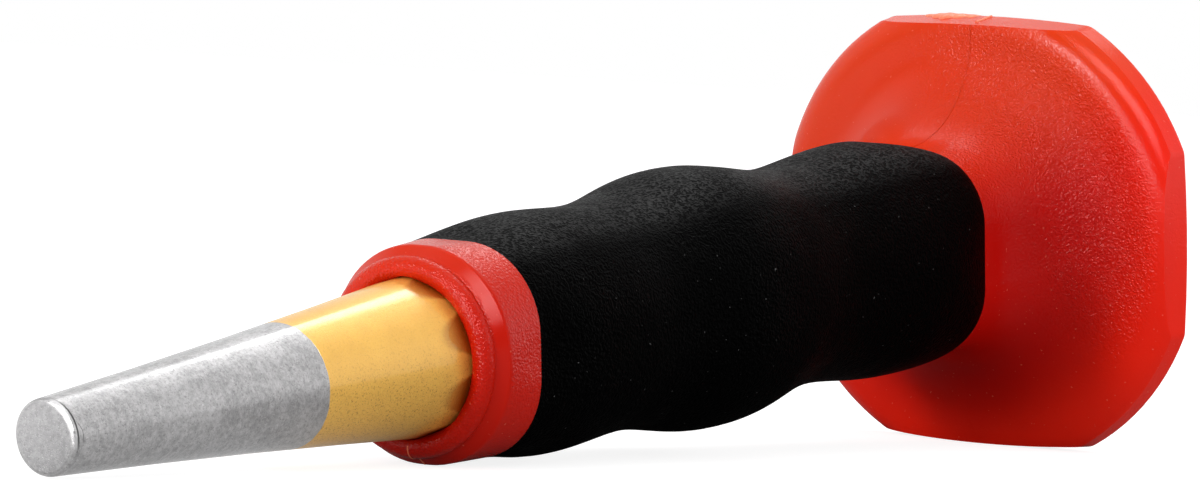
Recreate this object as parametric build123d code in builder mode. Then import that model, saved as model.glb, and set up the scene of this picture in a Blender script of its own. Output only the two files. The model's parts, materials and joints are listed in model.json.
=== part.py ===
"""Taper punch with a moulded hand-guard grip, lying at rest on a bench.

The punch lies along X with its working face towards -X. It rests on the lower
flat of the guard and on the front collar, so its axis rises a little towards
the guard. Distances named "at" are measured along that axis from the working
face. Millimetres, +Z up, origin at the middle of the underside.
"""
from build123d import *
import math
import os

# Punch bar: one forging, turned at both ends and octagonal between them.
bar_length = 250.0
bar_across_flats = 21.3
bar_corner_radius = 4.5
tip_diameter = 10.0
tip_edge_radius = 0.7
taper_length = 80.0
taper_end_diameter = 23.0
taper_hollow = 0.37            # how far the turned taper bows inwards at mid-length
head_face_diameter = 16.0
head_bevel_length = 8.5
head_bevel_diameter = 24.0

# Front collar of the sleeve: round in front, a rounded square at its rear, bevelled
# at its front edge, with a rolled bead round the mouth.
collar_front_at = 76.0
collar_length = 9.05
collar_front_half_width = 15.15
collar_rear_half_width = 14.95
collar_front_corner_radius = 15.05
collar_rear_corner_radius = 12.1
collar_bevel_length = 2.0
collar_bevel_width = 1.7
collar_edge_radius = 0.6
bead_ring_diameter = 24.6
bead_radius = 1.6
bead_lead = 0.3                # how far the bead's centre stands before the collar's front

# Core tube of the sleeve, which carries the soft grip.
core_diameter = 27.2
push_fit = 0.1
moulded_fit = 0.05

# Soft grip: three swells with two waists between them.
grip_length = 111.9
grip_rear_half_width = 15.4
front_swell_half_width = 16.9
middle_swell_half_width = 18.9
rear_swell_half_width = 17.65
front_waist_half_width = 16.2
rear_waist_half_width = 16.1
front_swell_at = 100.9
front_waist_at = 116.2
middle_swell_at = 139.5
rear_waist_at = 164.1
rear_swell_at = 184.9
grip_middle_roundness = 0.95   # corner radius as a share of the half width
grip_rear_roundness = 0.69
grip_front_softness = 0.5      # 0 rises at once behind the collar, 1 starts level with it
steps_per_wave = 2

# Guard: a thick disc on a flared neck, cut by four slightly bowed flats and dished
# at its back round a hub.
guard_height = 66.8
guard_width = 69.9
guard_rim_diameter = 74.5
guard_flat_bow_radius = 220.0
guard_vertex_radius = 3.0
guard_thickness = 6.9
guard_shoulder_radius = 5.6    # rounding of the disc's front edge
guard_edge_radius = 0.8
neck_length = 2.7
flare_length = 17.6
flare_roundness = 0.985        # of the disc, so that the loft keeps its corners
neck_blend_width = 8.0         # growth of the half width over which the corners round off
flare_steps = 5
shoulder_steps = 3
dish_depth = 2.6
dish_land = 6.5
dish_radius = 2.0
hub_diameter = 32.0

collar_rear_at = collar_front_at + collar_length
grip_rear_at = collar_rear_at + grip_length
guard_front_at = grip_rear_at + neck_length + flare_length
guard_back_at = guard_front_at + guard_thickness
flats_length = guard_thickness + flare_length / 2

# Resting angle: the guard's lower rear edge stays down while the front sinks
# until the first of the tip, the collar and the front swell meets the bench.
guard_half_height = guard_height / 2
collar_turn = math.atan2(collar_bevel_width, collar_bevel_length)
collar_narrowing = (collar_front_half_width - collar_rear_half_width) / collar_length
bevel_end_half_width = collar_front_half_width - collar_narrowing * collar_bevel_length


def resting_angle(at, radius, rounding):
    """Angle at which a rounded edge and the guard's lower rear edge share one line below them."""
    length = guard_back_at - at
    drop = guard_half_height - radius
    return math.atan2(drop, length) - math.asin(rounding / math.hypot(length, drop))


rest = min(
    resting_angle(tip_edge_radius, tip_diameter / 2 - tip_edge_radius, tip_edge_radius),
    resting_angle(
        collar_front_at + collar_bevel_length + collar_edge_radius * math.tan(collar_turn / 2),
        bevel_end_half_width - collar_edge_radius,
        collar_edge_radius,
    ),
    resting_angle(front_swell_at, front_swell_half_width, 0),
)
rest_degrees = math.degrees(rest)
rise, run = math.sin(rest), math.cos(rest)

tip_reach = (tip_diameter / 2 - tip_edge_radius) * rise + tip_edge_radius * (1 - run)
head_reach = bar_length * run + head_face_diameter / 2 * rise
tip_x = (tip_reach - head_reach) / 2
tip_z = guard_half_height * run - guard_back_at * rise

# Sections lie across the axis, with their Y upwards. The profile plane holds the
# axis, with X outwards and Y along it.
section_plane = Plane(origin=(tip_x, 0, tip_z), x_dir=(0, 1, 0), z_dir=(run, 0, rise))
profile_plane = Plane(origin=(tip_x, 0, tip_z), x_dir=(-rise, 0, run), z_dir=(0, 1, 0))
punch_axis = Axis((tip_x, 0, tip_z), (run, 0, rise))


def octagon(gap):
    """The bar's octagonal section with a gap all round, one corner upwards."""
    with BuildSketch(mode=Mode.PRIVATE) as section:
        RegularPolygon(bar_across_flats / 2 + gap, 8, major_radius=False)
        fillet(section.vertices(), bar_corner_radius + gap)
    return section.sketch


# The turned body is wider than the octagon in the middle, so that cutting it to
# the octagon leaves the scallops where the cones run into the flats.
with BuildPart() as punch_bar:
    with BuildSketch(profile_plane):
        with BuildLine():
            tip_edge = (tip_diameter / 2, 0)
            taper_end = (taper_end_diameter / 2, taper_length)
            taper_middle = (
                (tip_diameter + taper_end_diameter) / 4 - taper_hollow,
                taper_length / 2,
            )
            head_shoulder = (head_bevel_diameter / 2, bar_length - head_bevel_length)
            head_edge = (head_face_diameter / 2, bar_length)
            Line((0, 0), tip_edge)
            ThreePointArc(tip_edge, taper_middle, taper_end)
            Polyline(taper_end, head_shoulder, head_edge, (0, bar_length), (0, 0))
        make_face()
    revolve(axis=punch_axis)
    fillet(punch_bar.edges().filter_by(GeomType.CIRCLE).sort_by(punch_axis)[0], tip_edge_radius)
    with BuildSketch(section_plane):
        add(octagon(0))
    extrude(amount=bar_length, mode=Mode.INTERSECT)

# Half widths of the soft grip at its ends, swells and waists, and the corner
# roundness that goes with each.
collar_roundness = collar_rear_corner_radius / collar_rear_half_width
grip_crests = [
    (collar_rear_at, collar_rear_half_width, collar_roundness),
    (front_swell_at, front_swell_half_width, grip_middle_roundness),
    (front_waist_at, front_waist_half_width, grip_middle_roundness),
    (middle_swell_at, middle_swell_half_width, grip_middle_roundness),
    (rear_waist_at, rear_waist_half_width, grip_middle_roundness),
    (rear_swell_at, rear_swell_half_width, grip_middle_roundness),
    (grip_rear_at, grip_rear_half_width, grip_rear_roundness),
]


def grip_sections():
    """Stations of the grip: half waves between crests, a quarter wave into the guard."""
    stations = [grip_crests[0]]
    last = len(grip_crests) - 2
    for index, (start, end) in enumerate(zip(grip_crests, grip_crests[1:])):
        for step in range(1, steps_per_wave + 1):
            share = step / steps_per_wave
            half_wave = (1 - math.cos(share * math.pi)) / 2
            if index == 0:
                rise_at_once = math.sin(share * math.pi / 2)
                blend = rise_at_once + (half_wave - rise_at_once) * grip_front_softness
            elif index == last:
                blend = 1 - math.cos(share * math.pi / 2)
            else:
                blend = half_wave
            stations.append((
                start[0] + (end[0] - start[0]) * share,
                start[1] + (end[1] - start[1]) * blend,
                start[2] + (end[2] - start[2]) * share,
            ))
    return stations


with BuildPart() as soft_grip:
    for at, half_width, roundness in grip_sections():
        with BuildSketch(section_plane.offset(at)):
            RectangleRounded(2 * half_width, 2 * half_width, roundness * half_width)
    loft()
    with BuildSketch(section_plane.offset(collar_rear_at)):
        Circle(core_diameter / 2 + moulded_fit)
    extrude(amount=grip_length, mode=Mode.SUBTRACT)


def flare_sections():
    """Stations of the guard's front: neck, flaring quarter arc and rounded shoulder."""
    shoulder_start = guard_rim_diameter / 2 - guard_shoulder_radius
    growth = shoulder_start - grip_rear_half_width
    stations = [(grip_rear_at, grip_rear_half_width)]
    for step in range(flare_steps + 1):
        turn = math.pi / 2 * step / (flare_steps + 0.5)
        stations.append((
            guard_front_at - flare_length * (1 - math.sin(turn)),
            grip_rear_half_width + growth * (1 - math.cos(turn)),
        ))
    for step in range(1, shoulder_steps + 1):
        turn = math.pi / 2 * step / shoulder_steps
        stations.append((
            guard_front_at + guard_shoulder_radius * (1 - math.cos(turn)),
            shoulder_start + guard_shoulder_radius * math.sin(turn),
        ))
    stations.append((guard_back_at, guard_rim_diameter / 2))
    return stations


def flare_roundness_at(half_width):
    """Corner roundness, from the grip's at the neck to nearly round on the disc."""
    share = min((half_width - grip_rear_half_width) / neck_blend_width, 1)
    return grip_rear_roundness + (flare_roundness - grip_rear_roundness) * share


def guard_outline():
    """Outline at the guard's back: a circle cut by four bowed flats."""
    upright = guard_height / 2 - guard_flat_bow_radius
    sideways = guard_width / 2 - guard_flat_bow_radius
    with BuildSketch(mode=Mode.PRIVATE) as outline:
        Circle(guard_rim_diameter / 2)
        for bow_centre in ((0, upright), (0, -upright), (sideways, 0), (-sideways, 0)):
            with Locations(bow_centre):
                Circle(guard_flat_bow_radius, mode=Mode.INTERSECT)
        fillet(outline.vertices(), guard_vertex_radius)
    return outline.sketch


with BuildPart() as guard_plate:
    with BuildSketch(section_plane.offset(guard_back_at)):
        add(guard_outline())
    extrude(amount=-flats_length, taper=rest_degrees)
    back = guard_plate.faces().sort_by(punch_axis)[-1]
    fillet(back.edges(), guard_edge_radius)
    with BuildSketch(section_plane.offset(guard_back_at - flats_length)):
        Circle(guard_rim_diameter / 2)
    extrude(amount=-(guard_back_at - flats_length - grip_rear_at))
    for at, half_width in flare_sections():
        corner_radius = flare_roundness_at(half_width) * half_width
        with BuildSketch(section_plane.offset(at)):
            RectangleRounded(2 * half_width, 2 * half_width, corner_radius)
    loft(mode=Mode.INTERSECT)
    with BuildSketch(profile_plane):
        with BuildLine():
            dish_edge = min(guard_height, guard_width) / 2 - dish_land
            dish_floor = guard_back_at - dish_depth
            Polyline(
                (hub_diameter / 2, guard_back_at),
                (hub_diameter / 2, dish_floor),
                (dish_edge, dish_floor),
                (dish_edge, guard_back_at),
                close=True,
            )
        make_face()
    revolve(axis=punch_axis, mode=Mode.SUBTRACT)
    floor = guard_plate.faces().filter_by(GeomType.PLANE).group_by(punch_axis)[-2]
    fillet(floor.edges(), dish_radius)

with BuildPart() as collar:
    with BuildSketch(section_plane.offset(collar_front_at)):
        RectangleRounded(
            2 * collar_front_half_width, 2 * collar_front_half_width, collar_front_corner_radius
        )
    with BuildSketch(section_plane.offset(collar_rear_at)):
        RectangleRounded(
            2 * collar_rear_half_width, 2 * collar_rear_half_width, collar_rear_corner_radius
        )
    loft()
    front = collar.faces().sort_by(punch_axis)[0]
    chamfer(front.edges(), collar_bevel_length, collar_bevel_width)
    bevel_end = collar_front_at + collar_bevel_length
    rim = collar.edges().filter_by_position(
        punch_axis, bevel_end - collar_edge_radius, bevel_end + collar_edge_radius
    )
    fillet(rim, collar_edge_radius)
    with BuildSketch(profile_plane):
        with Locations((bead_ring_diameter / 2, collar_front_at - bead_lead)):
            Circle(bead_radius)
    revolve(axis=punch_axis)

with BuildPart() as guard_sleeve:
    add(guard_plate.part)
    add(collar.part)
    with BuildSketch(section_plane.offset(collar_rear_at)):
        Circle(core_diameter / 2)
    extrude(amount=grip_length)
    with BuildSketch(section_plane):
        add(octagon(push_fit))
    extrude(amount=bar_length, mode=Mode.SUBTRACT)

os.makedirs("parts", exist_ok=True)
for name, piece in (
    ("punch_bar", punch_bar),
    ("guard_sleeve", guard_sleeve),
    ("soft_grip", soft_grip),
):
    piece.part.label = name
    export_step(piece.part, f"parts/{name}.step")
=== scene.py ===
import json
import math

import bmesh
import bpy
from bpy.props import FloatProperty, FloatVectorProperty, PointerProperty
from mathutils import Matrix, Vector


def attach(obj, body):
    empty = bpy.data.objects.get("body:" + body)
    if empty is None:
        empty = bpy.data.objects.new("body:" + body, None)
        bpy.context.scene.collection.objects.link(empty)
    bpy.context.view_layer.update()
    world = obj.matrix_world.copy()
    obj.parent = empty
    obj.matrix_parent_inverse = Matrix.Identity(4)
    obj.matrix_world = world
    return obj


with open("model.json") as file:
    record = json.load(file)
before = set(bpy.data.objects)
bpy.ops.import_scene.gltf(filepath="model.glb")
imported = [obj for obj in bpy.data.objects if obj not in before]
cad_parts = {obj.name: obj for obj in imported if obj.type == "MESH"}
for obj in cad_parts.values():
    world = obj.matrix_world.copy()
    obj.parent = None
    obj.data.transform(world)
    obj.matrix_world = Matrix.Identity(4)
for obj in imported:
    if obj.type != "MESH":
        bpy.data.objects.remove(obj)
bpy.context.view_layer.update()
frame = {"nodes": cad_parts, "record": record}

bl_info = {
    "name": "Taper Punch Looks",
    "version": (1, 0, 0),
    "blender": (4, 5, 0),
    "location": "3D View > Sidebar > Punch",
    "description": "Finishes and moulding details of a taper punch with a hand guard",
    "category": "Object",
}

MM = 0.001

# Colour sockets of a Mix node, which shares its names between kinds of value
MIX_FACTOR, MIX_FIRST, MIX_SECOND, MIX_RESULT = 0, 6, 7, 2

# Share of an upward and of a sideways distance that counts towards a flat of the octagon,
# whose corners lie upwards and sideways
STEEP, SHALLOW = math.cos(math.pi / 8), math.sin(math.pi / 8)

# Pattern sizes of the steel and the lacquer
EDGE_RIPPLE = 1.2 * MM
EDGE_SOFTNESS = 0.05 * MM
BLAST_GRAIN = 0.9 * MM
STEEL_PATCHES = 5.0 * MM
TURNING_MARKS = 1.1 * MM
TURNING_STRETCH = 4.0
LACQUER_CLOUDS = 3.0 * MM
FLAKES = 0.26 * MM
# Values of the flakes' noise between which the dark flakes begin and the bright flakes end
DARK_FLAKES = (0.56, 0.66)
BRIGHT_FLAKES = (0.34, 0.43)

# Spots: their size, and the values of the noise between which they begin
PITS = (0.30 * MM, 0.56, 0.66)
GLINTS = (0.26 * MM, 0.62, 0.72)
RED_SPECKS = (0.45 * MM, 0.80, 0.86)
DUST = (0.42 * MM, 0.855, 0.89)
# Distances that set the patterns of the glints and of the dust apart from the others
GLINT_SHIFT, DUST_SHIFT = 0.31, 0.17

# Marks near the working face: a stretch along the punch and an arc round it in radians,
# each with its start, its end and the softness of both
POLISHED_AND_HIGHLIT_EDGE = ((0.08 * MM, 0.62 * MM, 0.08 * MM), (0.15, 1.75, 0.2))
LONG_SCORE = ((0.72 * MM, 1.0 * MM, 0.06 * MM), (0.3, 1.75, 0.35))
SLANTING_SCORE = ((0.78 * MM, 0.9 * MM, 0.05 * MM), (1.1, 1.6, 0.15))
SCORE_SLANT = 0.9 * MM
SCORE_SLANT_ARC = (0.9, 1.4)
FACE_EDGE = (0.02 * MM, 0.12 * MM)

# Heights between which the lacquer's flakes fade towards the top
FLAKES_FADE = (-3 * MM, 5 * MM)
# Distances from the collar's mouth between which painted shade comes on: in the mouth, and on the
# flats before it
SHADED_MOUTH = (-2.5 * MM, 1 * MM)
SHADED_FLATS = (-7 * MM, -1 * MM)
# Distances inside the flats' plane between which the octagon's corners end and its flats start
CORNER_TO_FLAT = (0.22 * MM, 0.01 * MM)
# Distance behind the guard's back over which the painted shade fades out
SHADE_ENDS = 1 * MM

# Pattern sizes and limits of the red moulding
RED_BEND = (0.7 * MM, 0.4 * MM)
RED_FINE = 0.22 * MM
RED_CLOUDS = 9.0 * MM
BEVEL_ON_COLLAR = (2.4 * MM, 4.2 * MM)
BEVEL_SOFTNESS = 0.3 * MM
COLLAR_TO_GUARD = (-1 * MM, 5 * MM)
GRAIN_STARTS = (14 * MM, 22 * MM)
GRAIN_ENDS = (30.5 * MM, 34 * MM)
GRAINED_ARC = (-0.05, 2.0, 0.5)
# Radii between which painted light comes on towards the guard's thin rim
PAINTED_RIM_LIGHT = (20 * MM, 36 * MM)
# Height, less some of the sideways distance, over which painted light from above comes on
LIGHT_FROM_ABOVE = (-6 * MM, 20 * MM)

# Pattern sizes of the flash and the black grip
FLASH_CLOUDS = 1.5 * MM
FLASH_FINE = 0.3 * MM
LEATHER_BEND = (1.2 * MM, 0.7 * MM)
LEATHER_FINE = 0.2 * MM
RUBBED_PATCHES = 12 * MM

# Where the parting lines run: from the guard's back to the front of its edge, and the heights
# between which the lines on the guard's edge, on its dish and under the collar lie
GUARD_EDGE_DEPTH = 6.4 * MM
EDGE_LINE_HEIGHTS = (30 * MM, math.inf)
DISH_LINE_HEIGHTS = (14 * MM, math.inf)
COLLAR_LINE_HEIGHTS = (-math.inf, -11.9 * MM)
CLEAR_OF_GUARD_FOOT = 0.2 * MM
CLEAR_OF_GRIP = 0.1 * MM
MERGE_DISTANCE = 0.001 * MM
ON_PLANE = 0.0001 * MM
BEAD_SIDES = 8

# The flash: its mesh, how far it sinks in and how far it lies in from the guard's back
FLASH_STEPS = 28
FLASH_RIBS = 6
FLASH_SINK = 0.12 * MM
FLASH_INSET = 0.35 * MM
# How blunt its ends are, the least share of its width, and the depth and waves of its ripple
FLASH_BLUNTNESS = 0.7
THINNEST_FLASH = 0.05
FLASH_RIPPLE = 0.25
FLASH_WAVES = (9, 23)
# The guard's upper flat: the strip at its back, how level its rear edge is, its depth, the strip
# at its front and the radius of its bow
REAR_STRIP = 2 * MM
REAR_EDGE_LEVEL = 0.02 * MM
FLAT_DEPTH = 6.5 * MM
FRONT_STRIP = 0.5 * MM
FLAT_BOW_RADIUS = 220 * MM

# Lamps: heading and elevation in degrees, distance, width and height in metres, power in watts
LAMPS = {
    "rear_overhead_box": (72, 50, 1.0, (0.60, 0.16), 0.8),
    "rear_small_box": (62, 51, 0.41, (0.12, 0.07), 0.17),
    "key_box": (-79, 20, 1.2, (0.20, 0.20), 4.0),
    "left_strip": (-95, 3, 1.2, (0.90, 0.10), 3.2),
}
LAMP_TARGET = Vector((0, 0, 0.03))

# Sides of the room: heading and elevation in degrees of the middle, then the cosines of the
# angles from it at which the side starts and is full
CEILING = (0, 90, 0.70, 0.92)
CEILING_IN_BACKDROP = (0, 90, 0.35, 0.70)
ABOVE_FLOOR = (0, 90, -0.35, -0.2)
LEFT_SIDE = (-90, 20, -0.1, 0.8)
RIGHT_SIDE = (150, 5, 0.45, 0.95)
BACKDROP = (60, 0, -0.45, 0.2)
LEFT_IN_GLOSS = (-45, 0, 0.45, 0.95)
RIGHT_IN_GLOSS = (128, 15, 0.35, 0.9)
# Small bright windows that only a gloss shows, as above and with their strength: three in an arc
# above the camera, and two where the key box and the left strip are
WINDOWS = (
    (-107, 45, 0.970, 0.993, 8.0),
    (-124, 38, 0.970, 0.993, 8.0),
    (-139, 29, 0.970, 0.993, 8.0),
    (-79, 17, 0.970, 0.995, 3.5),
    (-90, 3, 0.970, 0.995, 3.5),
)

# Places on the floor between which its glow in a gloss starts on the far side, and ends behind
# the nose along X
FLOOR_FAR_SIDE = (-0.01, 0.03)
FLOOR_BEHIND_NOSE = (-0.085, -0.035)
NEAREST_SEEN, FARTHEST_SEEN = 0.01, 50.0

mounts = {mount["name"]: mount for mount in frame["record"]["mounts"]}
tip_centre = Vector(mounts["working_face"]["pos_m"])
punch_direction = -Vector(mounts["working_face"]["axis"]).normalized()
sideways = Vector((0, -1, 0))
upright = sideways.cross(punch_direction).normalized()


def station(point):
    """Distance of a point behind the working face, along the punch."""
    return (Vector(point) - tip_centre).dot(punch_direction)


def height(point):
    """Height of a point above the punch's axis, square to it."""
    return (Vector(point) - tip_centre).dot(upright)


def flat_reach(point):
    """How far a point lies from the punch's axis towards the nearest flat of the octagon."""
    up, side = abs(height(point)), abs((Vector(point) - tip_centre).dot(sideways))
    return max(up * STEEP + side * SHALLOW, up * SHALLOW + side * STEEP)


def place(along, side, up):
    """The point at this station and these distances from the punch's axis."""
    return tip_centre + punch_direction * along + sideways * side + upright * up


def measured(node, measure):
    """Least and greatest measure of a node's points."""
    values = [measure(vertex.co) for vertex in frame["nodes"][node].data.vertices]
    return min(values), max(values)


grip_front, grip_rear = measured("soft_grip", station)
collar_mouth, guard_back = measured("guard_sleeve", station)
half_across_flats = measured("punch_bar", flat_reach)[1]


class Signal:
    """A node's output. Arithmetic on it adds Math nodes to its tree."""

    def __init__(self, graph, socket):
        self.graph = graph
        self.socket = socket

    def __add__(self, other):
        return self.graph.math("ADD", self, other)

    def __radd__(self, other):
        return self.graph.math("ADD", other, self)

    def __sub__(self, other):
        return self.graph.math("SUBTRACT", self, other)

    def __rsub__(self, other):
        return self.graph.math("SUBTRACT", other, self)

    def __mul__(self, other):
        return self.graph.math("MULTIPLY", self, other)

    def __rmul__(self, other):
        return self.graph.math("MULTIPLY", other, self)


class Graph:
    """A node tree that is filled from Python expressions."""

    def __init__(self, tree):
        self.tree = tree

    def node(self, kind, settings=None, inputs=None, output=0):
        """Adds a node: its settings first, then a value or a link on each named socket."""
        made = self.tree.nodes.new(kind)
        for name, value in (settings or {}).items():
            setattr(made, name, value)
        for key, value in (inputs or {}).items():
            if isinstance(value, Signal):
                self.tree.links.new(value.socket, made.inputs[key])
            else:
                made.inputs[key].default_value = value
        return Signal(self, made.outputs[output]) if made.outputs else None

    def math(self, operation, *values, clamp=False):
        settings = {"operation": operation, "use_clamp": clamp}
        return self.node("ShaderNodeMath", settings, dict(enumerate(values)))

    def vector(self, operation, *values):
        return self.node("ShaderNodeVectorMath", {"operation": operation}, dict(enumerate(values)))

    def dot(self, point, axis):
        """How far a point lies along an axis."""
        settings = {"operation": "DOT_PRODUCT"}
        return self.node("ShaderNodeVectorMath", settings, {0: point, 1: tuple(axis)}, "Value")

    def clamp01(self, value):
        return self.math("ADD", value, 0.0, clamp=True)

    def ramp(self, value, start, end):
        """0 before start, 1 past end and smooth between them."""
        inputs = {"Value": value, "From Min": start, "From Max": end}
        return self.node("ShaderNodeMapRange", {"interpolation_type": "SMOOTHSTEP"}, inputs)

    def band(self, value, start, end, soft):
        """1 between start and end, with soft edges."""
        rise = self.ramp(value, start - soft, start + soft)
        return rise * (1 - self.ramp(value, end - soft, end + soft))

    def mix(self, factor, first, second):
        """Mixes two colours."""
        inputs = {MIX_FACTOR: factor, MIX_FIRST: first, MIX_SECOND: second}
        return self.node("ShaderNodeMix", {"data_type": "RGBA"}, inputs, MIX_RESULT)

    def noise(self, point, size, detail=2.0, roughness=0.5):
        """Noise with features of about the given size in metres."""
        inputs = {"Vector": point, "Scale": 1 / size, "Detail": detail, "Roughness": roughness}
        return self.node("ShaderNodeTexNoise", None, inputs)

    def spots(self, point, kind, detail=2.0):
        """1 on scattered spots of a kind, which holds their size and the noise's limits."""
        size, start, full = kind
        return self.ramp(self.noise(point, size, detail), start, full)

    def cells(self, point, size):
        """Distance to the middle of irregular cells of the given size in metres."""
        return self.node("ShaderNodeTexVoronoi", None, {"Vector": point, "Scale": 1 / size})

    def bump(self, rise, depth, below=None):
        """Normal of a surface raised by rise, from 0 to 1, times depth in metres."""
        inputs = {"Strength": 1.0, "Distance": depth, "Height": rise}
        if below is not None:
            inputs["Normal"] = below
        return self.node("ShaderNodeBump", None, inputs)


class Layout:
    """Coordinates along the punch and across it, for a material's patterns."""

    def __init__(self, graph):
        self.graph = graph
        self.point = graph.node("ShaderNodeTexCoord", output="Object")
        from_tip = graph.vector("SUBTRACT", self.point, tuple(tip_centre))
        self.along = graph.dot(from_tip, punch_direction)
        self.up = graph.dot(from_tip, upright)
        self.side = graph.dot(from_tip, sideways)
        self.radius = graph.math("SQRT", self.up * self.up + self.side * self.side)

    def turn(self):
        """Angle round the punch in radians: 0 at the top, growing towards the side."""
        return self.graph.math("ARCTAN2", self.side, self.up)

    def octagon(self):
        """The same measure as flat_reach, for a material."""
        up, side = (self.graph.math("ABSOLUTE", value) for value in (self.up, self.side))
        return self.graph.math("MAXIMUM", up * STEEP + side * SHALLOW, up * SHALLOW + side * STEEP)

    def stretched(self, times):
        """Coordinates in which a pattern is drawn out round the punch, as turning marks are."""
        inputs = {0: self.along * times, 1: self.up, 2: self.side}
        return self.graph.node("ShaderNodeCombineXYZ", None, inputs)

    def shifted(self, distance):
        """Coordinates moved far enough for a second pattern that doesn't repeat the first."""
        return self.graph.vector("ADD", self.point, (distance,) * 3)

    def bent(self, size, amount):
        """Coordinates that wander at random by about this amount, in waves of this size."""
        inputs = {"Vector": self.point, "Scale": 1 / size, "Detail": 1.0}
        colour = self.graph.node("ShaderNodeTexNoise", None, inputs, "Color")
        centred = self.graph.vector("SUBTRACT", colour, (0.5,) * 3)
        shift = self.graph.vector("MULTIPLY", centred, (amount,) * 3)
        return self.graph.vector("ADD", self.point, shift)

    def mark(self, along, limits):
        """1 on a mark with these limits: a stretch of the punch's length and an arc round it."""
        stretch, arc = limits
        return self.graph.band(along, *stretch) * self.graph.band(self.turn(), *arc)

    def behind(self, start, limits):
        """0 before two limits and 1 behind them, which are counted from a station."""
        return self.graph.ramp(self.along, *(start + limit for limit in limits))


def cleared_graph(owner):
    """The graph of a material or world, with no nodes in it."""
    owner.use_nodes = True
    owner.node_tree.nodes.clear()
    return Graph(owner.node_tree)


def new_material(name):
    """A material with no nodes: returns it, its graph and its layout."""
    material = bpy.data.materials.new(name)
    graph = cleared_graph(material)
    return material, graph, Layout(graph)


def finish_surface(graph, inputs):
    """Adds the principled shader with these inputs, and the material's output."""
    shader = graph.node("ShaderNodeBsdfPrincipled", None, inputs)
    graph.node("ShaderNodeOutputMaterial", None, {"Surface": shader})


def toned(colour, factor=1.0):
    """A colour made lighter or darker, as four channels."""
    return (*(min(channel * factor, 1.0) for channel in colour[:3]), 1.0)


def dress(piece, material):
    """Gives a piece this one material."""
    piece.data.materials.clear()
    piece.data.materials.append(material)
    for polygon in piece.data.polygons:
        polygon.material_index = 0


def bare_steel(graph, layout, look):
    """Colour, roughness and height of blasted steel; its polished edge has a painted highlight, its
    scores and face painted shade.
    """
    mottle = graph.noise(layout.point, BLAST_GRAIN, detail=6.0, roughness=0.78)
    patches = graph.noise(layout.point, STEEL_PATCHES, detail=3.0)
    round_punch = layout.stretched(TURNING_STRETCH)
    turned = graph.noise(round_punch, TURNING_MARKS, detail=4.0, roughness=0.75)
    pits = graph.spots(layout.point, PITS, detail=3.0)
    glints = graph.spots(layout.shifted(GLINT_SHIFT), GLINTS)
    tone = graph.ramp(mottle * 0.6 + patches * 0.22 + turned * 0.18, 0.36, 0.64)
    colour = graph.mix(tone, toned(look.steel, 0.66), toned(look.steel, 1.18))
    colour = graph.mix(pits * 0.5, colour, toned(look.steel, 0.45))
    colour = graph.mix(glints * 0.4, colour, toned(look.steel, 1.5))

    # Painted shade, and the tone of a ground face: the working face is darker
    face = 1 - graph.ramp(layout.along, *FACE_EDGE)
    colour = graph.mix(face * 0.5, colour, toned(look.steel, 0.45))
    # Painted highlight: a lighter crescent of steel on the front edge, which is also polished
    # smoother
    polish_and_highlight = layout.mark(layout.along, POLISHED_AND_HIGHLIT_EDGE)
    colour = graph.mix(polish_and_highlight, colour, toned(look.steel, 1.55))
    # Painted shade: the scores are dark colour only, with no relief
    slanting = layout.along - SCORE_SLANT * graph.ramp(layout.turn(), *SCORE_SLANT_ARC)
    painted_scores = layout.mark(layout.along, LONG_SCORE) + 0.7 * layout.mark(slanting, SLANTING_SCORE)
    colour = graph.mix(graph.clamp01(painted_scores) * 0.92, colour, toned(look.score_shade))
    roughness = 0.40 + 0.16 * mottle - 0.12 * glints - 0.15 * polish_and_highlight
    return colour, roughness, mottle + 0.6 * glints - 0.6 * pits


def gold_lacquer(graph, layout, look):
    """Colour, roughness and height of flake lacquer, with painted shade tinted red near the collar's
    mouth.
    """
    flake = graph.noise(layout.point, FLAKES, roughness=0.7)
    dark_flake = graph.ramp(flake, *DARK_FLAKES)
    bright_flake = 1 - graph.ramp(flake, *BRIGHT_FLAKES)
    cloud = graph.noise(layout.point, LACQUER_CLOUDS)
    colour = graph.mix(cloud, toned(look.gold, 0.90), toned(look.gold, 1.08))
    showing = 1 - 0.75 * graph.ramp(layout.up, *FLAKES_FADE)
    colour = graph.mix(dark_flake * 0.8 * showing, colour, toned(look.dark_flake))
    colour = graph.mix(bright_flake * 0.4 * showing, colour, toned(look.gold, 1.35))

    # Painted shade, tinted by a painted reflection of the red collar: darker in its mouth and on the
    # flats near it
    in_mouth = layout.behind(collar_mouth, SHADED_MOUTH)
    near_mouth = layout.behind(collar_mouth, SHADED_FLATS)
    flat_starts, flat_full = (half_across_flats - inside for inside in CORNER_TO_FLAT)
    on_flat = graph.ramp(layout.octagon(), flat_starts, flat_full)
    before_guard = 1 - layout.behind(guard_back, (0, SHADE_ENDS))
    painted_shade = before_guard * (0.62 * near_mouth * on_flat + 0.45 * in_mouth)
    colour = graph.mix(graph.clamp01(painted_shade), colour, toned(look.gold_in_shade))
    return colour, 0.44 - 0.1 * bright_flake, 1 + 0.12 * flake


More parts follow.
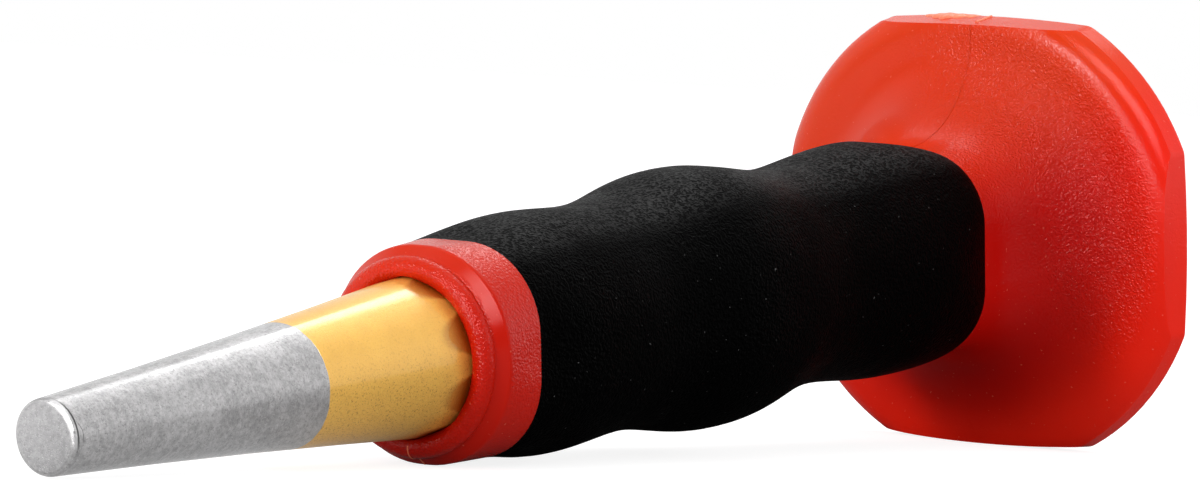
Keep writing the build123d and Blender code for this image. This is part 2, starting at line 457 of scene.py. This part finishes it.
def steel_and_lacquer(look):
    """Bare blasted steel at the nose, gold flake lacquer behind a masked edge."""
    material, graph, layout = new_material("steel_and_gold_lacquer")
    edge = layout.along + (graph.noise(layout.point, EDGE_RIPPLE) - 0.5) * look.edge_wobble
    lacquer = graph.ramp(edge, look.bare_length - EDGE_SOFTNESS, look.bare_length + EDGE_SOFTNESS)
    steel, steel_roughness, blasting = bare_steel(graph, layout, look)
    gold, gold_roughness, coating = gold_lacquer(graph, layout, look)
    steel_bump = graph.bump(blasting, look.steel_depth)
    finish_surface(graph, {
        "Base Color": graph.mix(lacquer, steel, gold),
        "Roughness": steel_roughness + lacquer * (gold_roughness - steel_roughness),
        "Metallic": 1 - 0.6 * lacquer,
        "Coat Weight": 0.7 - 0.2 * lacquer,
        "Coat Roughness": 0.13,
        "Normal": graph.bump(lacquer * coating, look.lacquer_thickness, steel_bump),
    })
    return material


def worm_grain(graph, point, size):
    """Height of short crooked ridges about one size apart: narrow furrows round smooth islands."""
    network = graph.cells(point, size)
    ridges = graph.noise(point, 1.6 * size, detail=1.0)
    crests = 1 - graph.math("ABSOLUTE", (ridges - 0.5) * 7)
    return 0.55 * (1 - network) + 0.45 * graph.clamp01(crests)


def red_grain(graph, layout, look):
    """Height of the moulded grain, worms on the guard and pebbles on the collar, its fine part,
    and 1 where the collar is.
    """
    bent = layout.bent(*RED_BEND)
    worms = worm_grain(graph, bent, look.grain)
    pebbles = 0.8 - graph.cells(bent, look.grain)
    on_collar = 1 - layout.behind(grip_front, COLLAR_TO_GUARD)
    bevel_start, bevel_end = (collar_mouth + distance for distance in BEVEL_ON_COLLAR)
    bevel = graph.band(layout.along, bevel_start, bevel_end, BEVEL_SOFTNESS)
    ring = graph.ramp(layout.radius, *GRAIN_STARTS) * (1 - graph.ramp(layout.radius, *GRAIN_ENDS))
    grained = ring * graph.band(layout.turn(), *GRAINED_ARC)
    strength = on_collar * (1 - bevel) * 0.42 + (1 - on_collar) * (0.08 + 0.92 * grained)
    fine = graph.noise(layout.point, RED_FINE)
    return strength * (worms + on_collar * (pebbles - worms) + 0.12 * fine), fine, on_collar


def red_moulding(look):
    """Red plastic, grained but for the collar's bevel and the rim, with painted light towards the rim
    and on the top.
    """
    material, graph, layout = new_material("red_plastic_grained")
    grain, fine, on_collar = red_grain(graph, layout, look)
    clouds = graph.noise(layout.point, RED_CLOUDS, detail=3.0)
    # Painted light and shade: lighter red towards the guard's thin rim and higher up, darker red
    # elsewhere
    thin = graph.ramp(layout.radius, *PAINTED_RIM_LIGHT) * graph.ramp(layout.along, grip_rear, guard_back)
    from_above = graph.ramp(layout.up - 0.6 * layout.side, *LIGHT_FROM_ABOVE)
    lit = from_above * (0.7 + 0.3 * thin - 0.3 * on_collar) + 0.12 * on_collar
    colour = graph.mix(graph.clamp01(thin + 0.15 * clouds), toned(look.shaded_red), toned(look.rim))
    colour = graph.mix(graph.clamp01(lit), colour, toned(look.thin))
    specks = graph.spots(layout.point, RED_SPECKS, detail=0.0)
    finish_surface(graph, {
        "Base Color": graph.mix(0.25 * specks, colour, toned(look.speck)),
        "Roughness": 0.17 + 0.08 * fine,
        "Subsurface Weight": 0.2,
        "Subsurface Radius": (3.0 * MM, 0.4 * MM, 0.2 * MM),
        "Subsurface Scale": 1.0,
        "Specular IOR Level": 0.19,
        "Normal": graph.bump(grain, look.grain_depth),
    })
    return material


def thin_flash(look):
    """Paler red of the thin flash and parting lines: painted light, for light coming through the
    plastic.
    """
    material, graph, layout = new_material("red_plastic_flash")
    tone = graph.ramp(graph.noise(layout.point, FLASH_CLOUDS), 0.35, 0.65)
    finish_surface(graph, {
        "Base Color": graph.mix(tone, toned(look.flash), toned(look.flash, 1.3)),
        "Roughness": 0.35 + 0.1 * graph.noise(layout.point, FLASH_FINE),
        "Specular IOR Level": 0.4,
    })
    return material


def soft_black(look):
    """Black rubber with a leather-like grain, and a painted sheen on the crests that lie upwards."""
    material, graph, layout = new_material("black_rubber_leather_grain")
    leather = worm_grain(graph, layout.bent(*LEATHER_BEND), look.grain)
    fine = graph.noise(layout.point, LEATHER_FINE)
    rub = graph.noise(layout.point, RUBBED_PATCHES, detail=3.0)
    worn = graph.ramp(rub, 0.40, 0.60)
    dust = graph.spots(layout.shifted(DUST_SHIFT), DUST, detail=0.0)
    # Painted sheen: grey on the grain's crests where the rubber faces upwards
    facing_up = graph.ramp(graph.math("DIVIDE", layout.up, layout.radius), 0.70, 1.0)
    crests = graph.ramp(leather + 0.4 * fine, 0.55, 0.95)
    painted_sheen = facing_up * (0.15 + 1.05 * crests)
    colour = graph.mix(rub, toned(look.rubber, 0.7), toned(look.rubber, 1.4))
    colour = graph.mix(graph.clamp01(painted_sheen), colour, toned(look.painted_sheen))
    grain = (0.7 + 0.3 * worn) * (leather + 0.25 * fine)
    finish_surface(graph, {
        "Base Color": graph.mix(dust, colour, toned(look.dust)),
        "Roughness": 0.42 + 0.12 * worn,
        "Specular IOR Level": 0.01,
        "Normal": graph.bump(grain, look.grain_depth),
    })
    return material


def parting_path(offset, stations, heights):
    """Edges where a plane along the punch, offset sideways, cuts the sleeve within these limits."""
    def within(vertex):
        along, up = station(vertex.co), height(vertex.co)
        return stations[0] < along < stations[1] and heights[0] < up < heights[1]

    cut = bmesh.new()
    cut.from_mesh(frame["nodes"]["guard_sleeve"].data)
    bmesh.ops.remove_doubles(cut, verts=cut.verts, dist=MERGE_DISTANCE)
    everything = [*cut.verts, *cut.edges, *cut.faces]
    plane = {"plane_co": tip_centre + sideways * offset, "plane_no": sideways}
    found = bmesh.ops.bisect_plane(cut, geom=everything, dist=ON_PLANE, **plane)["geom_cut"]
    places, lines = {}, []
    for edge in found:
        if isinstance(edge, bmesh.types.BMEdge) and all(within(end) for end in edge.verts):
            ends = [end.co.copy().freeze() for end in edge.verts]
            lines.append([places.setdefault(end, len(places)) for end in ends])
    cut.free()
    mesh = bpy.data.meshes.new("parting_path")
    mesh.from_pydata(list(places), lines, [])
    return mesh


def bead_tree(material):
    """Geometry nodes that sweep a thin round bead along the edges of a mesh."""
    tree = bpy.data.node_groups.new("parting_bead", "GeometryNodeTree")
    sizes = ("Radius", "Spacing")
    tree.interface.new_socket("Path", in_out="INPUT", socket_type="NodeSocketGeometry")
    for name in sizes:
        tree.interface.new_socket(name, in_out="INPUT", socket_type="NodeSocketFloat")
    tree.interface.new_socket("Bead", in_out="OUTPUT", socket_type="NodeSocketGeometry")
    graph = Graph(tree)
    path, radius, spacing = (
        graph.node("NodeGroupInput", output=name) for name in ("Path", *sizes)
    )
    curve = graph.node("GeometryNodeMeshToCurve", None, {"Mesh": path})
    rings = {"Curve": curve, "Length": spacing}
    curve = graph.node("GeometryNodeResampleCurve", {"mode": "LENGTH"}, rings)
    circle = {"Resolution": BEAD_SIDES, "Radius": radius}
    profile = graph.node("GeometryNodeCurvePrimitiveCircle", None, circle)
    swept = {"Curve": curve, "Profile Curve": profile, "Fill Caps": True}
    bead = graph.node("GeometryNodeCurveToMesh", None, swept)
    bead = graph.node("GeometryNodeRealizeInstances", None, {"Geometry": bead})
    bead = graph.node("GeometryNodeSetMaterial", None, {"Geometry": bead, "Material": material})
    graph.node("NodeGroupOutput", None, {"Bead": bead})
    return tree


def bake(name, mesh, tree, values):
    """Runs the nodes on a mesh with these named inputs and returns the plain result."""
    carrier = bare_object(name, mesh)
    modifier = carrier.modifiers.new("nodes", "NODES")
    modifier.node_group = tree
    for socket in tree.interface.items_tree:
        if socket.item_type == "SOCKET" and socket.name in values:
            modifier[socket.identifier] = values[socket.name]
    evaluated = carrier.evaluated_get(bpy.context.evaluated_depsgraph_get())
    baked = bpy.data.meshes.new_from_object(evaluated)
    carrier.modifiers.remove(modifier)
    carrier.data = baked
    return carrier


def top_of_guard():
    """Height of the guard's upper flat above the punch's axis, as a function of side and station."""
    points = [vertex.co for vertex in frame["nodes"]["guard_sleeve"].data.vertices]
    places = [(station(point), height(point)) for point in points]
    flat_front = guard_back - FLAT_DEPTH
    rear = max(up for along, up in places if along > guard_back - REAR_STRIP)
    front = max(up for along, up in places if along < flat_front + FRONT_STRIP)
    rear_along = max(along for along, up in places if up > rear - REAR_EDGE_LEVEL)
    slope = (rear - front) / (rear_along - flat_front)
    return lambda side, along: rear + (along - rear_along) * slope - side ** 2 / (2 * FLAT_BOW_RADIUS)


def rim_flash(look):
    """A low lens of trimmed flash that lies along the rear edge of the guard's upper flat."""
    flat_top = top_of_guard()
    lens = bmesh.new()
    rows = []
    for step in range(FLASH_STEPS + 1):
        share = step / FLASH_STEPS
        ripple = 1 + FLASH_RIPPLE * math.prod(math.sin(waves * share) for waves in FLASH_WAVES)
        swell = math.sin(math.pi * share) ** FLASH_BLUNTNESS * ripple
        side = look.flash_middle + (share - 0.5) * look.flash_length
        row = []
        for rib in range(FLASH_RIBS + 1):
            turn = math.pi * rib / FLASH_RIBS
            forward = look.flash_width * (0.5 - 0.5 * math.cos(turn)) * max(swell, THINNEST_FLASH)
            along = guard_back - FLASH_INSET - forward
            lift = look.flash_height * math.sin(turn) * swell - FLASH_SINK
            row.append(lens.verts.new(place(along, side, flat_top(side, along) + lift)))
        rows.append(row)
    for first, second in zip(rows, rows[1:]):
        for left in range(FLASH_RIBS):
            lens.faces.new((first[left], first[left + 1], second[left + 1], second[left]))
        lens.faces.new((first[-1], first[0], second[0], second[-1]))
    lens.faces.new(rows[0])
    lens.faces.new(list(reversed(rows[-1])))
    bmesh.ops.recalc_face_normals(lens, faces=lens.faces)
    for face in lens.faces:
        face.smooth = True
    mesh = bpy.data.meshes.new("rim_flash")
    lens.to_mesh(mesh)
    lens.free()
    return mesh


class SteelLook(bpy.types.PropertyGroup):
    """Finish of the punch bar."""

    bare_length: FloatProperty(
        name="Bare length",
        description="Length of bare steel behind the working face",
        default=47.2 * MM,
        unit="LENGTH",
    )
    edge_wobble: FloatProperty(
        name="Edge wobble",
        description="How uneven the lacquer's edge is",
        default=0.3 * MM,
        unit="LENGTH",
    )
    lacquer_thickness: FloatProperty(
        name="Lacquer thickness",
        description="Step from the steel up to the lacquer",
        default=0.06 * MM,
        unit="LENGTH",
    )
    steel_depth: FloatProperty(
        name="Steel depth",
        description="Depth of the blasted surface",
        default=0.035 * MM,
        unit="LENGTH",
    )
    steel: FloatVectorProperty(
        name="Steel",
        description="Bare steel",
        default=(0.55, 0.542, 0.547),
        subtype="COLOR",
    )
    # Painted shade that stands for the scores' bottoms
    score_shade: FloatVectorProperty(
        name="Score",
        description="Bottom of the scores behind the working face",
        default=(0.02, 0.02, 0.02),
        subtype="COLOR",
    )
    gold: FloatVectorProperty(
        name="Gold",
        description="Gold flake lacquer",
        default=(0.98, 0.535, 0.092),
        subtype="COLOR",
    )
    dark_flake: FloatVectorProperty(
        name="Dark flake",
        description="Dark flakes in the lacquer",
        default=(0.48, 0.19, 0.02),
        subtype="COLOR",
    )
    # Painted shade with the collar's red reflection, on the flats and in the collar's mouth
    gold_in_shade: FloatVectorProperty(
        name="Worn gold",
        description="Lacquer on the flats, rubbed thin by the sleeve",
        default=(0.40, 0.11, 0.006),
        subtype="COLOR",
    )


class PlasticLook(bpy.types.PropertyGroup):
    """Finish of the red moulding."""

    # Shaded, rim and thin red are darker and lighter copies of one red, mixed as painted shade and
    # painted light
    shaded_red: FloatVectorProperty(
        name="Deep red",
        description="Red where the wall is thick",
        default=(0.47, 0.0015, 0.0003),
        subtype="COLOR",
    )
    rim: FloatVectorProperty(
        name="Rim red",
        description="Red of the guard's rim",
        default=(0.92, 0.018, 0.005),
        subtype="COLOR",
    )
    thin: FloatVectorProperty(
        name="Thin red",
        description="Red where light comes through",
        default=(0.75, 0.044, 0.004),
        subtype="COLOR",
    )
    speck: FloatVectorProperty(
        name="Speck",
        description="Dust and scuffs on the red",
        default=(0.9, 0.3, 0.2),
        subtype="COLOR",
    )
    grain: FloatProperty(
        name="Grain",
        description="Width of one worm or pebble of the grain",
        default=0.42 * MM,
        unit="LENGTH",
    )
    grain_depth: FloatProperty(
        name="Grain depth",
        description="Depth of the grain",
        default=0.21 * MM,
        unit="LENGTH",
    )


class SeamLook(bpy.types.PropertyGroup):
    """Parting lines and flash of the red moulding."""

    offset: FloatProperty(
        name="Offset",
        description="Parting plane's distance from the punch's axis",
        default=0.25 * MM,
        unit="LENGTH",
    )
    guard_radius: FloatProperty(
        name="Guard line",
        description="Radius of the bead on the guard's edge; on its dish it is half of that",
        default=0.22 * MM,
        unit="LENGTH",
    )
    collar_radius: FloatProperty(
        name="Collar line",
        description="Radius of the bead on the collar",
        default=0.11 * MM,
        unit="LENGTH",
    )
    spacing: FloatProperty(
        name="Spacing",
        description="Distance between the bead's rings",
        default=0.5 * MM,
        unit="LENGTH",
    )
    rim_gap: FloatProperty(
        name="Rim gap",
        description="Distance of the line's end from the guard's back",
        default=0.8 * MM,
        unit="LENGTH",
    )
    # Painted light: the flash's paler red stands for light through the thin plastic
    flash: FloatVectorProperty(
        name="Flash colour",
        description="Thin plastic with light in it",
        default=(0.85, 0.20, 0.10),
        subtype="COLOR",
    )
    flash_middle: FloatProperty(
        name="Flash middle",
        description="Sideways place of the flash",
        default=-6.8 * MM,
        unit="LENGTH",
    )
    flash_length: FloatProperty(
        name="Flash length",
        description="Length of the flash along the rim",
        default=11.0 * MM,
        unit="LENGTH",
    )
    flash_width: FloatProperty(
        name="Flash width",
        description="Width of the flash across the rim",
        default=3.2 * MM,
        unit="LENGTH",
    )
    flash_height: FloatProperty(
        name="Flash height",
        description="How far the flash stands up",
        default=0.6 * MM,
        unit="LENGTH",
    )


class RubberLook(bpy.types.PropertyGroup):
    """Finish of the soft grip."""

    rubber: FloatVectorProperty(
        name="Rubber",
        description="Black rubber",
        default=(0.0003, 0.0003, 0.0003),
        subtype="COLOR",
    )
    # Grey of the painted sheen on the faces that lie upwards
    painted_sheen: FloatVectorProperty(
        name="Bloom",
        description="Greyed rubber on the faces that lie upwards",
        default=(0.042, 0.042, 0.042),
        subtype="COLOR",
    )
    dust: FloatVectorProperty(
        name="Dust",
        description="Dust caught in the grain",
        default=(0.10, 0.10, 0.10),
        subtype="COLOR",
    )
    grain: FloatProperty(
        name="Grain",
        description="Width of one pebble of the grain",
        default=0.5 * MM,
        unit="LENGTH",
    )
    grain_depth: FloatProperty(
        name="Grain depth",
        description="Depth of the grain",
        default=0.34 * MM,
        unit="LENGTH",
    )


class StageLook(bpy.types.PropertyGroup):
    """Camera, floor and the room's light."""

    lens: FloatProperty(
        name="Lens",
        description="Focal length in millimetres",
        default=181.5,
    )
    distance: FloatProperty(
        name="Distance",
        description="From the camera to the aim point",
        default=0.8593,
        unit="LENGTH",
    )
    heading: FloatProperty(
        name="Heading",
        description="Direction of view, from +Y towards +X",
        default=math.radians(54.448),
        unit="ROTATION",
    )
    tilt: FloatProperty(
        name="Tilt",
        description="How far the camera looks down",
        default=math.radians(1.963),
        unit="ROTATION",
    )
    roll: FloatProperty(
        name="Roll",
        description="Turn of the camera about its line of sight",
        default=math.radians(3.263),
        unit="ROTATION",
    )
    aim: FloatVectorProperty(
        name="Aim",
        description="Point in the middle of the picture",
        default=(-0.00238, 0.00313, 0.03011),
        unit="LENGTH",
    )
    floor_width: FloatProperty(
        name="Floor width",
        description="Width of the floor",
        default=12.0,
        unit="LENGTH",
    )
    floor_white: FloatProperty(
        name="Floor white",
        description="Floor's own light where it is seen",
        default=0.85,
    )
    floor_gloss: FloatProperty(
        name="Floor in gloss",
        description="Own light in a gloss of the floor under the nose",
        default=0.36,
    )
    far_floor_gloss: FloatProperty(
        name="Far floor in gloss",
        description="What the far side adds to it",
        default=1.0,
    )
    floor_tone: FloatProperty(
        name="Floor tone",
        description="Share of the light that the floor throws back",
        default=0.42,
    )
    floor_gloss_tone: FloatProperty(
        name="Floor tone in gloss",
        description="The same share where a gloss shows it",
        default=0.2,
    )
    ambient: FloatProperty(
        name="Ambient",
        description="Strength of the light from all round",
        default=0.28,
    )
    overhead: FloatProperty(
        name="Overhead",
        description="Strength of the room's bright ceiling",
        default=0.75,
    )
    left: FloatProperty(
        name="Left light",
        description="Strength of the room at the camera's left",
        default=0.35,
    )
    right: FloatProperty(
        name="Right light",
        description="Strength of the room at the camera's right",
        default=1.4,
    )
    dimmest_gloss: FloatProperty(
        name="Dimmest gloss",
        description="Strength of the whole room in a gloss",
        default=0.03,
    )
    backdrop_gloss: FloatProperty(
        name="Backdrop in gloss",
        description="Strength of the white backdrop in a gloss",
        default=0.9,
    )
    left_gloss: FloatProperty(
        name="Left in gloss",
        description="Strength in a gloss of the room at the camera's left",
        default=0.4,
    )
    overhead_gloss: FloatProperty(
        name="Overhead in gloss",
        description="Strength of the ceiling in a gloss",
        default=0.6,
    )
    right_gloss: FloatProperty(
        name="Right in gloss",
        description="Strength in a gloss of the room at the camera's right",
        default=0.35,
    )


def bare_object(name, data):
    made = bpy.data.objects.new(name, data)
    bpy.context.scene.collection.objects.link(made)
    return made


def heading_vector(heading, elevation):
    """Unit vector of a heading, from +Y towards +X, and an elevation, both in degrees."""
    turn, rise = math.radians(heading), math.radians(elevation)
    level = math.cos(rise)
    return Vector((math.sin(turn) * level, math.cos(turn) * level, math.sin(rise)))


def soft_lamp(name, heading, elevation, distance, size, power):
    """A rectangular lamp in that direction from the middle of the punch, facing it."""
    lamp = bpy.data.lights.new(name, "AREA")
    lamp.shape = "RECTANGLE"
    lamp.size, lamp.size_y = size
    lamp.energy = power
    holder = bare_object(name, lamp)
    direction = heading_vector(heading, elevation)
    holder.location = LAMP_TARGET + direction * distance
    holder.rotation_euler = (-direction).to_track_quat("-Z", "Y").to_euler()


def background_rays(graph):
    """1 for rays that see the background directly or through glass, and 1 for those in a gloss."""
    camera, through, glossy = (
        graph.node("ShaderNodeLightPath", output=f"Is {kind} Ray")
        for kind in ("Camera", "Transmission", "Glossy")
    )
    return graph.math("MAXIMUM", camera, through), glossy


def make_floor(look):
    """A pale floor that shows white round the punch and keeps its shadow."""
    half = look.floor_width / 2
    corners = [(-half, -half, 0), (half, -half, 0), (half, half, 0), (-half, half, 0)]
    mesh = bpy.data.meshes.new("floor")
    mesh.from_pydata(corners, [], [(0, 1, 2, 3)])
    floor = bare_object("floor", mesh)
    material = bpy.data.materials.new("pale_floor")
    graph = cleared_graph(material)
    straight, glossy = background_rays(graph)
    tones = (toned([tone] * 3) for tone in (look.floor_tone, look.floor_gloss_tone))
    matt = graph.node("ShaderNodeBsdfDiffuse", None, {"Color": graph.mix(glossy, *tones)})
    point = graph.node("ShaderNodeTexCoord", output="Object")
    far_side = graph.ramp(graph.dot(point, -sideways), *FLOOR_FAR_SIDE)
    under_nose = 1 - graph.ramp(graph.dot(point, (1, 0, 0)), *FLOOR_BEHIND_NOSE)
    gloss = under_nose * (look.floor_gloss + far_side * look.far_floor_gloss)
    strength = straight * look.floor_white + (1 - straight) * glossy * gloss
    glow = graph.node("ShaderNodeEmission", None, {"Color": (1, 1, 1, 1), "Strength": strength})
    both = graph.node("ShaderNodeAddShader", None, {0: matt, 1: glow})
    graph.node("ShaderNodeOutputMaterial", None, {"Surface": both})
    mesh.materials.append(material)


def make_world(look):
    """White where it is seen; a soft room that has a ceiling, sides and small bright windows."""
    world = bpy.data.worlds.new("studio")
    graph = cleared_graph(world)
    direction = graph.node("ShaderNodeTexCoord", output="Generated")

    def facing(heading, elevation, start, full):
        return graph.ramp(graph.dot(direction, heading_vector(heading, elevation)), start, full)

    ceiling = facing(*CEILING)
    soft = look.ambient + look.overhead * ceiling
    soft = soft + look.left * facing(*LEFT_SIDE) + look.right * facing(*RIGHT_SIDE)
    backdrop = facing(*BACKDROP) * facing(*ABOVE_FLOOR) * (1 - 0.55 * facing(*CEILING_IN_BACKDROP))
    windows = sum(facing(*window) * strength for *window, strength in WINDOWS)
    gloss = look.dimmest_gloss + look.backdrop_gloss * backdrop + look.overhead_gloss * ceiling
    gloss = gloss + look.left_gloss * facing(*LEFT_IN_GLOSS)
    gloss = gloss + look.right_gloss * facing(*RIGHT_IN_GLOSS)
    straight, glossy = background_rays(graph)
    strength = straight + (1 - straight) * (glossy * (gloss + windows) + (1 - glossy) * soft)
    sky = graph.node("ShaderNodeBackground", None, {"Color": (1, 1, 1, 1), "Strength": strength})
    graph.node("ShaderNodeOutputWorld", None, {"Surface": sky})
    bpy.context.scene.world = world


def make_camera(context, look):
    """The camera of the photograph: a long lens, low, ahead of the working face and to its side."""
    forward = heading_vector(math.degrees(look.heading), -math.degrees(look.tilt))
    lens = bpy.data.cameras.new("camera")
    lens.lens = look.lens
    lens.clip_start, lens.clip_end = NEAREST_SEEN, FARTHEST_SEEN
    camera = bare_object("camera", lens)
    camera.location = Vector(look.aim) - forward * look.distance
    turn = forward.to_track_quat("-Z", "Y").to_matrix()
    camera.rotation_euler = (turn @ Matrix.Rotation(look.roll, 3, "Z")).to_euler()
    context.scene.camera = camera


class PUNCH_OT_finish_bar(bpy.types.Operator):
    """Give the punch bar its bare steel nose and gold lacquer"""

    bl_idname = "punch.finish_bar"
    bl_label = "Finish Bar"

    def execute(self, context):
        dress(frame["nodes"]["punch_bar"], steel_and_lacquer(context.scene.punch_steel))
        return {"FINISHED"}


class PUNCH_OT_finish_sleeve(bpy.types.Operator):
    """Give the collar and guard their grained red plastic"""

    bl_idname = "punch.finish_sleeve"
    bl_label = "Finish Sleeve"

    def execute(self, context):
        dress(frame["nodes"]["guard_sleeve"], red_moulding(context.scene.punch_plastic))
        return {"FINISHED"}


class PUNCH_OT_add_parting_lines(bpy.types.Operator):
    """Add the moulding's parting lines on the guard and the collar"""

    bl_idname = "punch.add_parting_lines"
    bl_label = "Add Parting Lines"

    def execute(self, context):
        look = context.scene.punch_seams
        red, flash = frame["nodes"]["guard_sleeve"].data.materials[0], thin_flash(look)
        edge_front = guard_back - GUARD_EDGE_DEPTH
        on_edge = (edge_front, guard_back - look.rim_gap)
        on_dish = (grip_rear + CLEAR_OF_GUARD_FOOT, edge_front)
        on_collar = (-math.inf, grip_front - CLEAR_OF_GRIP)
        lines = {
            "guard_rim_parting_line": (on_edge, EDGE_LINE_HEIGHTS, look.guard_radius, flash),
            "guard_front_parting_line": (on_dish, DISH_LINE_HEIGHTS, look.guard_radius / 2, red),
            "collar_parting_line": (on_collar, COLLAR_LINE_HEIGHTS, look.collar_radius, flash),
        }
        for name, (stations, heights, radius, material) in lines.items():
            path = parting_path(look.offset, stations, heights)
            if not path.edges:
                raise RuntimeError(f"no surface for {name}")
            values = {"Radius": radius, "Spacing": look.spacing}
            line = bake(name, path, bead_tree(material), values)
            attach(line, "root")
        return {"FINISHED"}


class PUNCH_OT_add_flash(bpy.types.Operator):
    """Add the thin trimmed flash on the guard's upper flat"""

    bl_idname = "punch.add_flash"
    bl_label = "Add Flash"

    def execute(self, context):
        look = context.scene.punch_seams
        flash = bare_object("rim_flash", rim_flash(look))
        dress(flash, thin_flash(look))
        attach(flash, "root")
        return {"FINISHED"}


class PUNCH_OT_finish_grip(bpy.types.Operator):
    """Give the soft grip its grained black rubber"""

    bl_idname = "punch.finish_grip"
    bl_label = "Finish Grip"

    def execute(self, context):
        dress(frame["nodes"]["soft_grip"], soft_black(context.scene.punch_rubber))
        return {"FINISHED"}


class PUNCH_OT_set_stage(bpy.types.Operator):
    """Set up the floor, the lamps, the world and the camera"""

    bl_idname = "punch.set_stage"
    bl_label = "Set Stage"

    def execute(self, context):
        look = context.scene.punch_stage
        make_floor(look)
        make_world(look)
        for name, placing in LAMPS.items():
            soft_lamp(name, *placing)
        make_camera(context, look)
        context.scene.view_settings.view_transform = "Standard"
        return {"FINISHED"}


PARTS = (
    ("punch_steel", "punch.finish_bar"),
    ("punch_plastic", "punch.finish_sleeve"),
    ("punch_seams", "punch.add_parting_lines"),
    ("punch_seams", "punch.add_flash"),
    ("punch_rubber", "punch.finish_grip"),
    ("punch_stage", "punch.set_stage"),
)


class PUNCH_PT_looks(bpy.types.Panel):
    """Sizes, colours and steps of the punch's looks"""

    bl_label = "Taper Punch"
    bl_space_type = "VIEW_3D"
    bl_region_type = "UI"
    bl_category = "Punch"

    def draw(self, context):
        for group, operator in PARTS:
            box = self.layout.box()
            look = getattr(context.scene, group)
            for name in look.__annotations__:
                box.prop(look, name)
            box.operator(operator)


LOOKS = {
    "punch_steel": SteelLook,
    "punch_plastic": PlasticLook,
    "punch_seams": SeamLook,
    "punch_rubber": RubberLook,
    "punch_stage": StageLook,
}

CLASSES = (
    *LOOKS.values(),
    PUNCH_OT_finish_bar,
    PUNCH_OT_finish_sleeve,
    PUNCH_OT_add_parting_lines,
    PUNCH_OT_add_flash,
    PUNCH_OT_finish_grip,
    PUNCH_OT_set_stage,
    PUNCH_PT_looks,
)


def register():
    for cls in CLASSES:
        bpy.utils.register_class(cls)
    for name, look in LOOKS.items():
        setattr(bpy.types.Scene, name, PointerProperty(type=look))


def unregister():
    for name in LOOKS:
        delattr(bpy.types.Scene, name)
    for cls in reversed(CLASSES):
        bpy.utils.unregister_class(cls)


def main():
    """Runs every step."""
    register()
    bpy.ops.punch.finish_bar()
    bpy.ops.punch.finish_sleeve()
    bpy.ops.punch.add_parting_lines()
    bpy.ops.punch.add_flash()
    bpy.ops.punch.finish_grip()
    bpy.ops.punch.set_stage()


if __name__ == "__main__":
    main()
